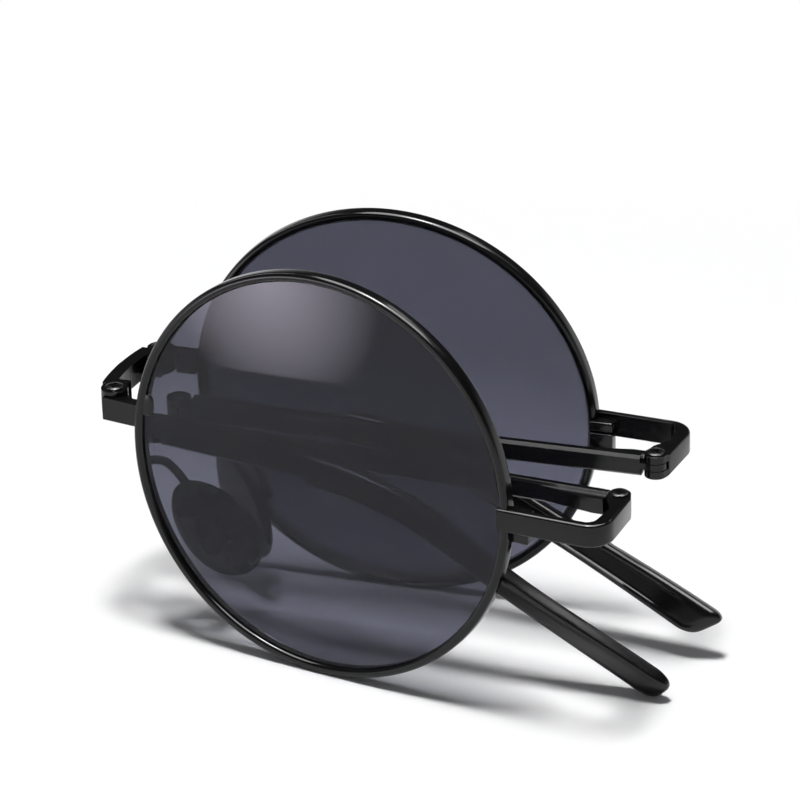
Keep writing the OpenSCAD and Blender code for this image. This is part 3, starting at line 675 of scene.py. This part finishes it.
class SUNGLASSES_OT_rims(bpy.types.Operator):
    """Rims: rounded wire rings, the closing blocks with their slit, and the lugs at the bridge"""
    bl_idname = "sunglasses.rims"
    bl_label = "Rims"

    def execute(self, context):
        s = sizes()
        tree, ids = rim_tree()
        r = s.rim_d / 2
        slit_z = s.strip_z - s.slit_drop
        start = math.asin((slit_z + s.slit / 2) / r)
        sweep = 2 * math.pi - s.slit / r
        stand = Matrix.Rotation(math.radians(90), 4, "X") @ Matrix.Scale(-1, 4, (0, 0, 1))
        for side, sign in SIDES:
            ring = run_tree(tree, ids, {"Radius": r - s.rim_wire / 2, "Width": s.rim_wire,
                                        "Depth": s.rim_depth, "Rounding": s.rim_round, "Start": start,
                                        "Sweep": sweep, "Material": finish("lacquer")})
            parts = [outward(ring, leaned(sign) @ stand), *self.jaws(sign, slit_z), self.lug(sign)]
            for p in parts:
                p.materials.clear()
            piece(f"rim_{side}", outward(joined("rim", parts)), finish("lacquer"), f"{side}_front",
                  [f"{side}_rim"], 40)
        return {"FINISHED"}

    def jaws(self, sign, slit_z):
        """The two jaws of the closing block, either side of the slit and behind the strip."""
        s = sizes()
        inside, middle = 0.75 * MM, 2 * MM
        r = s.rim_d / 2
        front = s.rim_depth / 2 + s.strip_proud - s.jaw_seat - middle * math.tan(s.strip_sweep)
        back, outside = front - s.jaw_t, r + s.jaw_out
        return [rounded_box((r - inside, back, low), (outside, front, high), s.jaw_edge, half(sign))
                for low, high in ((slit_z - s.jaw_down, slit_z - s.slit / 2),
                                  (slit_z + s.slit / 2, slit_z + s.jaw_up))]

    def lug(self, sign):
        """D-shaped lug inside the rim at the bridge, with a rounded face."""
        s = sizes()
        inner = -s.rim_d / 2 + s.rim_wire
        level = s.bridge_z + s.bridge_h + s.lug_rise
        face = s.rim_depth / 2 - s.lens_inset
        root, middle, steps, power = 0.3 * MM, 0.75 * MM, 16, 2.6
        rings = []
        # each ring's step inwards from the outline and its rise above the lens's edge, in millimetres
        for step_in, rise in ((0, 0.06), (0, 0.1), (0.05, 0.18), (0.15, 0.23), (0.3, 0.25)):
            y, half_h = face + rise * MM, s.lug_h / 2 - step_in * MM
            ring = [(inner - root, y, level - half_h)]
            for i in range(steps + 1):
                u, v = squircle(math.radians(-90 + 180 * i / steps), power)
                ring.append((inner + middle + (s.lug_reach - step_in * MM) * u, y, level + half_h * v))
            ring.append((inner - root, y, level + half_h))
            rings.append(ring)
        return mesh_from("lug", *loft(rings), leaned(sign))


class SUNGLASSES_OT_lenses(bpy.types.Operator):
    """Lenses: domed discs with a bevelled edge in the rim's groove"""
    bl_idname = "sunglasses.lenses"
    bl_label = "Lenses"

    def execute(self, context):
        s = sizes()
        r = s.rim_d / 2 - s.rim_wire - s.lens_gap
        front = s.rim_depth / 2 - s.lens_inset
        rings, spokes = 28, 160

        def face(x):
            return front + s.lens_dome * (1 - (x / r) ** 2)

        # the rings lie closer together towards the edge
        xs = [r * (i / rings) ** 0.8 for i in range(rings + 1)]
        profile = ([(x, face(x)) for x in xs] + [(r + s.lens_edge, front - s.lens_t / 2)]
                   + [(x, face(x) - s.lens_t) for x in xs[::-1]])
        stand = Matrix.Rotation(math.radians(-90), 4, "X")
        for side, sign in SIDES:
            me = mesh_from("lens", *turned(profile, spokes), leaned(sign) @ stand)
            piece(f"lens_{side}", me, finish("lens"), f"{side}_front", [f"{side}_lens"], 30)
        return {"FINISHED"}


class SUNGLASSES_OT_bridge(bpy.types.Operator):
    """Bridge: the link between the two pins and a block on each rim"""
    bl_idname = "sunglasses.bridge"
    bl_label = "Bridge"

    def execute(self, context):
        s = sizes()
        dressed("bridge_link", "bridge_bow", finish("lacquer"), s.link_edge)
        for side, _ in SIDES:
            dressed(f"{side}_bridge_arm", f"bridge_block_{side}", finish("lacquer"), s.block_edge)
        return {"FINISHED"}


class SUNGLASSES_OT_endpieces(bpy.types.Operator):
    """Endpieces: the strip from the rim, its rounded turn and the fork of the temple hinge"""
    bl_idname = "sunglasses.endpieces"
    bl_label = "Endpieces"

    def execute(self, context):
        s = sizes()
        past_rim, round_plates = s.rim_d / 2 - 1 * MM, 1.75 * MM
        for side, sign in SIDES:
            to_half = half(sign).inverted()
            turn = to_half.to_3x3()

            def outer_edge(a, b, at):
                """A long edge between the strip's flat top or bottom and its outer wall."""
                a, b, at = turn @ a, turn @ b, to_half @ at
                flat, wall = (a, b) if abs(a.z) > abs(b.z) else (b, a)
                hinge = Vector((s.rim_d / 2 + s.hinge_reach, -s.hinge_back, at.z))
                square = abs(flat.z) > 0.95 and abs(wall.z) < 0.1
                outside = max(wall.x, wall.y) > 0.3 and wall.x > -0.5
                return square and outside and at.x > past_rim and (at - hinge).length > round_plates

            me = round_edges(cad_copy(f"{side}_endpiece"), outer_edge, s.bow_edge)
            o = piece(f"endpiece_bow_{side}", me, finish("lacquer"), f"{side}_front", [f"{side}_endpiece"],
                      32)
            rounded(o, s.strip_edge)
        return {"FINISHED"}


class SUNGLASSES_OT_temples(bpy.types.Operator):
    """Temples: the front bars with their hinge leaf, and the rear bars"""
    bl_idname = "sunglasses.temples"
    bl_label = "Temples"

    def execute(self, context):
        s = sizes()
        for side, _ in SIDES:
            dressed(f"{side}_temple_front", f"temple_bar_{side}", finish("lacquer"), s.bar_edge)
            dressed(f"{side}_temple_rear", f"temple_arm_{side}", finish("lacquer"), s.arm_edge,
                    40)
        return {"FINISHED"}


def ear_values(side):
    """Bend, length of the bent part and whole length of the ear part."""
    s = sizes()
    fall = (lens_height() - s.sleeve_end_h / 2 + s.strip_z - s.front_length * math.tan(s.droop)
            - s.rear_straight * math.sin(s.droop))
    steep = s.droop + s.left_bend
    total = (s.bend_r * s.left_bend + s.sleeve_end_h / 2
             + (fall - s.bend_r * (math.cos(s.droop) - math.cos(steep))) / math.sin(steep))
    bend = s.left_bend if side < 0 else s.right_bend
    return bend, s.bend_r * bend, total


def ear_ring(side, at, height, thick, section, twist, slant):
    """One ring of the sleeve's section at a length along the ear, in the rear part's frame."""
    s = sizes()
    bend, arc, total = ear_values(side)
    fall = s.droop + bend * min(1, at / arc)
    straight = max(0, at - arc)
    x = s.bend_r * (math.sin(fall) - math.sin(s.droop)) + straight * math.cos(s.droop + bend)
    z = -s.bend_r * (math.cos(s.droop) - math.cos(fall)) - straight * math.sin(s.droop + bend)
    z += (s.left_lift if side < 0 else s.right_lift) * smooth_step((at / total - 0.5) * 2)
    y = (s.sleeve_t - s.bar_t) / 2 - s.tip_curve * (max(0, at) / total) ** 2
    rear_y = -mid_y() + s.bar_out - s.bar_t / 2
    p = Vector((s.rear_straight * math.cos(s.droop) + x, rear_y + y,
                -s.rear_straight * math.sin(s.droop) + z))
    yaw = -math.atan(2 * s.tip_curve * at / total / total)
    up, out = Vector((math.sin(fall), 0, math.cos(fall))), Vector((-math.sin(yaw), math.cos(yaw), 0))
    on = out.cross(up)
    on = on if on.x > 0 else -on
    up, out = up * math.cos(twist) + out * math.sin(twist), out * math.cos(twist) - up * math.sin(twist)
    return [p + up * (u * height / 2) + out * (v * thick / 2) + on * (u * height / 2 * math.tan(slant))
            for u, v in section]


class SUNGLASSES_OT_sleeves(bpy.types.Operator):
    """Temple tips: bent, twisted sleeves with a channel on the inner face and a slanting rounded end"""
    bl_idname = "sunglasses.sleeves"
    bl_label = "Temple tips"

    def execute(self, context):
        for side, sign in SIDES:
            me = mesh_from("sleeve", *loft(self.rings(sign)), at_rear(sign))
            piece(f"sleeve_{side}", me, finish("sleeve"), f"{side}_temple_rear", [f"{side}_temple_tip"],
                  50)
        return {"FINISHED"}

    def rings(self, sign):
        """Rings along the sleeve, from the end at the bar to the rounded end."""
        s = sizes()
        total = ear_values(sign)[2]
        last = total - s.sleeve_end_h / 2 + s.tip_more
        end_slant, reach = (s.left_slant, s.left_round) if sign < 0 else (s.right_slant, s.right_round)
        # lengths over which the sleeve narrows, twists, widens again and takes its end's slant
        narrowing, twisting, widening, slanting = total * 0.6, total * 0.8, total * 0.45, 9 * MM
        # powers of the section's superellipse along the sleeve and at the very end
        body_power, end_power = 4.5, 3.0

        def height(at):
            low = s.sleeve_h + (s.sleeve_end_h - s.sleeve_h) * min(1, at / narrowing)
            return low + (s.tip_h - low) * smooth_step((at - total + widening) / widening)

        def twist(at):
            return s.tip_twist * smooth_step(at / twisting)

        def slant(at):
            return end_slant * smooth_step((at - last + slanting) / slanting)

        rings = []
        # the first ring is smaller, which softens the rim of the sleeve's open end
        for at in (0.0, 0.08 * MM, *np.linspace(0.4 * MM, last, 70)):
            scale = 1 if at else 0.93
            rings.append(ear_ring(sign, at, height(at) * scale, s.sleeve_t * scale,
                                  self.section(at, last, body_power), twist(at), slant(at)))
        end_rings, end_angle, blunt_height, blunt_thick = 12, math.radians(88), 0.45, 0.8
        for i in range(1, end_rings + 1):
            a = end_angle * i / end_rings
            power = body_power + (end_power - body_power) * i / end_rings
            rings.append(ear_ring(sign, last + math.sin(a) * reach, s.tip_h * math.cos(a) ** blunt_height,
                                  s.sleeve_t * math.cos(a) ** blunt_thick, self.section(last, last, power),
                                  s.tip_twist, end_slant))
        return rings

    def section(self, at, last, power):
        """Rounded section with a channel on the face towards the head, which fades at both ends."""
        s = sizes()
        points, fade_in, fade_out = 72, 6 * MM, 3.5 * MM
        start = smooth_step((at - s.channel_start) / fade_in)
        stop = smooth_step((last - s.channel_end - at) / fade_out)
        depth = s.channel_d * 2 / s.sleeve_t * start * stop
        out = []
        for i in range(points):
            u, v = squircle(-2 * math.pi * i / points, power)
            if v < 0 and abs(u) < s.channel_w:
                v += depth * min(1, 4 * (1 - abs(u) / s.channel_w)) ** 0.8
            out.append((u, v))
        return out


class SUNGLASSES_OT_pads(bpy.types.Operator):
    """Nose pads: soft ovals, the bent wire arms with their boxes, and the tabs on the pins"""
    bl_idname = "sunglasses.pads"
    bl_label = "Nose pads"

    def execute(self, context):
        s = sizes()
        tab_y = s.pad_t / 2 + s.tab_back
        for side, sign in SIDES:
            parts = [self.oval(sign), *self.tab(sign, tab_y)]
            piece(f"pad_{side}", outward(joined("pad", parts)), finish("pad"), f"{side}_nose_pad",
                  [f"{side}_nose_pad"], 40)
            parts = [self.wire(sign), *self.box(sign, tab_y)]
            for p in parts:
                p.materials.clear()
            piece(f"pad_wire_{side}", joined("pad wire", parts), finish("lacquer"), f"{side}_front",
                  [f"{side}_pad_arm"], 45)
        return {"FINISHED"}

    def oval(self, sign):
        """Egg-shaped pad with a full, rounded edge."""
        s = sizes()
        sides, steps, last_angle, fullness, narrowing = 72, 24, math.radians(86), 0.45, 0.12
        rings = []
        for i in range(steps + 1):
            a = last_angle * (2 * i / steps - 1)
            flat, thick = math.cos(a) ** fullness, math.sin(a)
            ring = []
            for k in range(sides):
                b = -2 * math.pi * k / sides
                x = flat * s.pad_w / 2 * math.cos(b) * (1 - narrowing * math.sin(b))
                ring.append((x, thick * s.pad_t / 2, flat * s.pad_l / 2 * math.sin(b)))
            rings.append(ring)
        return mesh_from("pad", *loft(rings), at_pad(sign))

    def tab(self, sign, tab_y):
        """Round tab behind the pad and the neck that joins them."""
        s = sizes()
        w, chamfer, flat, in_pad = s.tab_w / 2, 0.1 * MM, 0.86, s.pad_t * 0.3
        disc = [(x * s.tab_r, y) for x, y in ((0, -w), (flat, -w), (1, -w + chamfer), (1, w - chamfer),
                                              (flat, w), (0, w))]
        lie = at_pad(sign) @ Matrix.Translation((0, tab_y, 0)) @ Matrix.Rotation(math.radians(90), 4, "Y")
        neck = rounded_box((-w, in_pad, -s.tab_r), (w, tab_y, s.tab_r), s.neck_edge, at_pad(sign))
        return [mesh_from("tab", *turned(disc, 40), lie), neck]

    def wire(self, sign):
        """Bent wire from the back of the rim to the box."""
        s = sizes()
        root, root_at = s.rim_d / 2 - s.rim_wire / 2, math.radians(189)
        start = Vector((root * math.cos(root_at), -s.rim_depth / 2, root * math.sin(root_at)))
        # the route, in millimetres from the root
        route = [(0, 0.1, 0), (0.3, -0.65, 0.02), (1.15, -0.95, 0.02), (2.25, -0.9, -0.13), (3.7, -0.9, -1.2),
                 (5.05, -1.15, -3.0), (6.45, -1.55, -5.25), (7.7, -1.85, -7.5), (8.7, -2.08, -9.6)]
        smooth = [leaned(sign) @ q for q in smooth_route([start + Vector(q) * MM for q in route], 8)]
        base = bpy.data.meshes.new("route")
        base.from_pydata(smooth, [(i, i + 1) for i in range(len(smooth) - 1)], [])
        tree, ids = wire_tree()
        return outward(run_tree(tree, ids, {"Radius": s.arm_d / 2, "Material": finish("lacquer")}, base))

    def box(self, sign, tab_y):
        """Open box round the tab: two cheeks and a back wall."""
        s = sizes()
        inner = s.tab_w / 2 + s.box_gap
        outer = inner + s.box_wall
        back, front = tab_y + 1.0 * MM, tab_y - 0.75 * MM
        return [rounded_box((x0, y0, -s.box_h / 2), (x1, back + s.box_wall, s.box_h / 2), s.box_edge,
                            at_pad(sign))
                for x0, x1, y0 in ((-outer, -inner, front), (inner, outer, front), (-outer, outer, back))]


class SUNGLASSES_OT_screws(bpy.types.Operator):
    """Screws and pins: cross-head screws in the hinges, lock screws in the blocks and pins in the pads"""
    bl_idname = "sunglasses.screws"
    bl_label = "Screws"

    def execute(self, context):
        s = sizes()
        tree, ids = screw_tree()
        recesses = (("bridge_screw", 0.2 * MM), ("temple_hinge_screw", 0.17 * MM),
                    ("mid_hinge_screw", 0.17 * MM))
        for side, sign in SIDES:
            for node, recess in recesses:
                name = f"{side}_{node}"
                low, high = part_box(name)
                middle = (low + high) / 2
                base = bpy.data.meshes.new("point")
                base.from_pydata([(0, 0, 0)], [], [])
                me = run_tree(tree, ids, {"Radius": s.screw_r, "Length": high.z - low.z - s.head_h,
                                          "Head radius": s.head_r, "Head height": s.head_h,
                                          "Recess": recess, "Material": finish("screw")}, base)
                # the crosses of the two sides stand at different angles, as after tightening by hand
                cross = turn_z(math.radians(31 + 20 * sign))
                me = outward(me, Matrix.Translation((middle.x, middle.y, low.z)) @ cross)
                o = piece(f"{node}_{side}", me, finish("screw"), NODES[name]["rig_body"], [name],
                          30)
                rounded(o, s.head_edge, 30, 2)
            for node, width in (("lock_screw", s.lock_edge), ("pad_pin", s.pin_edge)):
                dressed(f"{side}_{node}", f"{node}_end_{side}", finish("screw"), width)
        return {"FINISHED"}


# Stage

def lamp(name, place, at, size, power, size_y=None, panel=False):
    """An area lamp that points at a place. A panel shows in glossy surfaces and lights nothing else."""
    data = bpy.data.lights.new(name, "AREA")
    data.shape = "RECTANGLE" if size_y else "SQUARE"
    data.size, data.energy = size, power
    if size_y:
        data.size_y = size_y
    o = bpy.data.objects.new(name, data)
    bpy.context.scene.collection.objects.link(o)
    o.location = place
    o.visible_diffuse = not panel
    o.rotation_mode = "QUATERNION"
    o.rotation_quaternion = (Vector(at) - o.location).to_track_quat("-Z", "Y")
    return o


def white_where_seen(t):
    """1 for rays that show the background: camera, glossy and transmission rays."""
    path = t.nodes.new("ShaderNodeLightPath")
    total = path.outputs["Is Camera Ray"]
    for key in ("Is Glossy Ray", "Is Transmission Ray"):
        total = add(t, "ShaderNodeMath", {0: total, 1: path.outputs[key]}, operation="ADD",
                    use_clamp=True).outputs[0]
    return total


def set_world():
    """Soft dim surroundings for light, and a background that is white at the horizon and dark overhead."""
    w = bpy.data.worlds.new("Studio")
    bpy.context.scene.world = w
    w.use_nodes = True
    t = w.node_tree
    coords = t.nodes.new("ShaderNodeTexCoord").outputs["Generated"]
    height = add(t, "ShaderNodeSeparateXYZ", {0: coords}).outputs["Z"]
    ramp = add(t, "ShaderNodeValToRGB", {"Fac": height})
    stops = ramp.color_ramp.elements
    stops[0].position, stops[0].color = 0.0, (1, 1, 1, 1)
    stops[1].position, stops[1].color = 0.3, (0.035, 0.035, 0.037, 1)
    stops.new(0.1).color = (0.55, 0.55, 0.56, 1)
    dim = (0.15, 0.15, 0.155, 1)
    mix = add(t, "ShaderNodeMix", {"Factor": white_where_seen(t), "A": dim, "B": ramp.outputs["Color"]},
              data_type="RGBA")
    t.links.new(mix.outputs["Result"], t.nodes["Background"].inputs["Color"])


def floor_finish():
    """Pale matt floor that turns plain white away from the object."""
    c = colours()
    m, t, b = shader("Pale floor")
    at = t.nodes.new("ShaderNodeTexCoord").outputs["Object"]
    cloud = spread(t, noise(t, 30, 3, 0.5, at), 0, 1)
    t.links.new(blend_colour(t, cloud, c.floor, [v * 0.995 for v in c.floor]), b.inputs["Base Color"])
    b.inputs["Roughness"].default_value = 0.7
    b.inputs["Specular IOR Level"].default_value = 0
    # plain white begins at the first distance from the object's middle and is full at the second
    near, far = 70 * MM, 150 * MM
    away = add(t, "ShaderNodeVectorMath", {0: at}, operation="LENGTH").outputs["Value"]
    white = add(t, "ShaderNodeEmission", {"Color": (1, 1, 1, 1)})
    seen = add(t, "ShaderNodeMath", {0: spread(t, away, 0, 1, near, far), 1: white_where_seen(t)},
               operation="MULTIPLY")
    blend_shaders(t, seen.outputs[0], b, white)
    return m


class SUNGLASSES_OT_stage(bpy.types.Operator):
    """Stage: pale floor, soft studio light, white background and the camera"""
    bl_idname = "sunglasses.stage"
    bl_label = "Stage"

    def execute(self, context):
        me = bpy.data.meshes.new("floor")
        reach = 3
        corners = [(-reach, -reach, 0), (reach, -reach, 0), (reach, reach, 0), (-reach, reach, 0)]
        me.from_pydata(corners, [], [(0, 1, 2, 3)])
        me.materials.append(floor_finish())
        o = bpy.data.objects.new("floor", me)
        context.scene.collection.objects.link(o)
        set_world()
        lamp("key", (-0.03, -0.05, 0.9), (0, 0, 0.02), 0.19, 7.9)
        # the panel overhead gives rounded edges their thin bright lines
        lamp("edge panel", (0, 0, 0.9), (0, 0, 0), 0.9, 26, panel=True)
        lamp("front box", (0.13, -0.3, 0.6), (0, 0, 0.03), 0.24, 0.42, size_y=0.07, panel=True)
        lamp("left box", (-0.6, 0.1, 0.5), (0, 0, 0.02), 0.1, 0.95, size_y=0.4, panel=True)
        lamp("back strip", (0.25, 0.6, 0.6), (0, 0, 0.03), 0.5, 0.45, size_y=0.06, panel=True)
        # a narrow beam that the near lens shows as a soft violet glow
        glow = lamp("lens card", (-0.089, -0.111, 0.021), (-0.0098, -0.0102, 0.0475), 0.13, 0.0031)
        glow.data.spread = math.radians(14)
        glow.data.color = (0.93, 0.86, 1.0)
        self.camera(context.scene)
        return {"FINISHED"}

    def camera(self, scene):
        """The camera that was fitted to the photo."""
        place = Vector((0.2206632, -0.478045, 0.2824804))
        right = Vector((0.913152, 0.406857, -0.024905))
        up = Vector((-0.154698, 0.402438, 0.902282))
        data = bpy.data.cameras.new("camera")
        data.sensor_width, data.lens = 36, 220.995
        data.clip_start, data.clip_end = 0.05, 20
        o = bpy.data.objects.new("camera", data)
        scene.collection.objects.link(o)
        m = Matrix((right, up, right.cross(up))).transposed().to_4x4()
        m.translation = place
        o.matrix_world = m
        scene.camera = o
        scene.view_settings.view_transform = "Standard"


class SUNGLASSES_PT_panel(bpy.types.Panel):
    bl_idname = "SUNGLASSES_PT_panel"
    bl_label = "Sunglasses"
    bl_space_type = "VIEW_3D"
    bl_region_type = "UI"
    bl_category = "Sunglasses"

    def draw(self, context):
        column = self.layout.column(align=True)
        for op in OPERATORS:
            column.operator(op.bl_idname)
        for group in (context.scene.sunglasses_sizes, context.scene.sunglasses_colours):
            box = self.layout.box().column(align=True)
            for key in type(group).__annotations__:
                box.prop(group, key)


OPERATORS = (SUNGLASSES_OT_rims, SUNGLASSES_OT_lenses, SUNGLASSES_OT_bridge, SUNGLASSES_OT_endpieces,
             SUNGLASSES_OT_temples, SUNGLASSES_OT_sleeves, SUNGLASSES_OT_pads, SUNGLASSES_OT_screws,
             SUNGLASSES_OT_stage)
CLASSES = (SUNGLASSES_PG_sizes, SUNGLASSES_PG_colours, *OPERATORS, SUNGLASSES_PT_panel)


def register():
    for c in CLASSES:
        bpy.utils.register_class(c)
    bpy.types.Scene.sunglasses_sizes = PointerProperty(type=SUNGLASSES_PG_sizes)
    bpy.types.Scene.sunglasses_colours = PointerProperty(type=SUNGLASSES_PG_colours)


def unregister():
    del bpy.types.Scene.sunglasses_colours
    del bpy.types.Scene.sunglasses_sizes
    for c in reversed(CLASSES):
        bpy.utils.unregister_class(c)


def main():
    register()
    for op in OPERATORS:
        group, name = op.bl_idname.split(".")
        getattr(getattr(bpy.ops, group), name)()


if __name__ == "__main__":
    main()
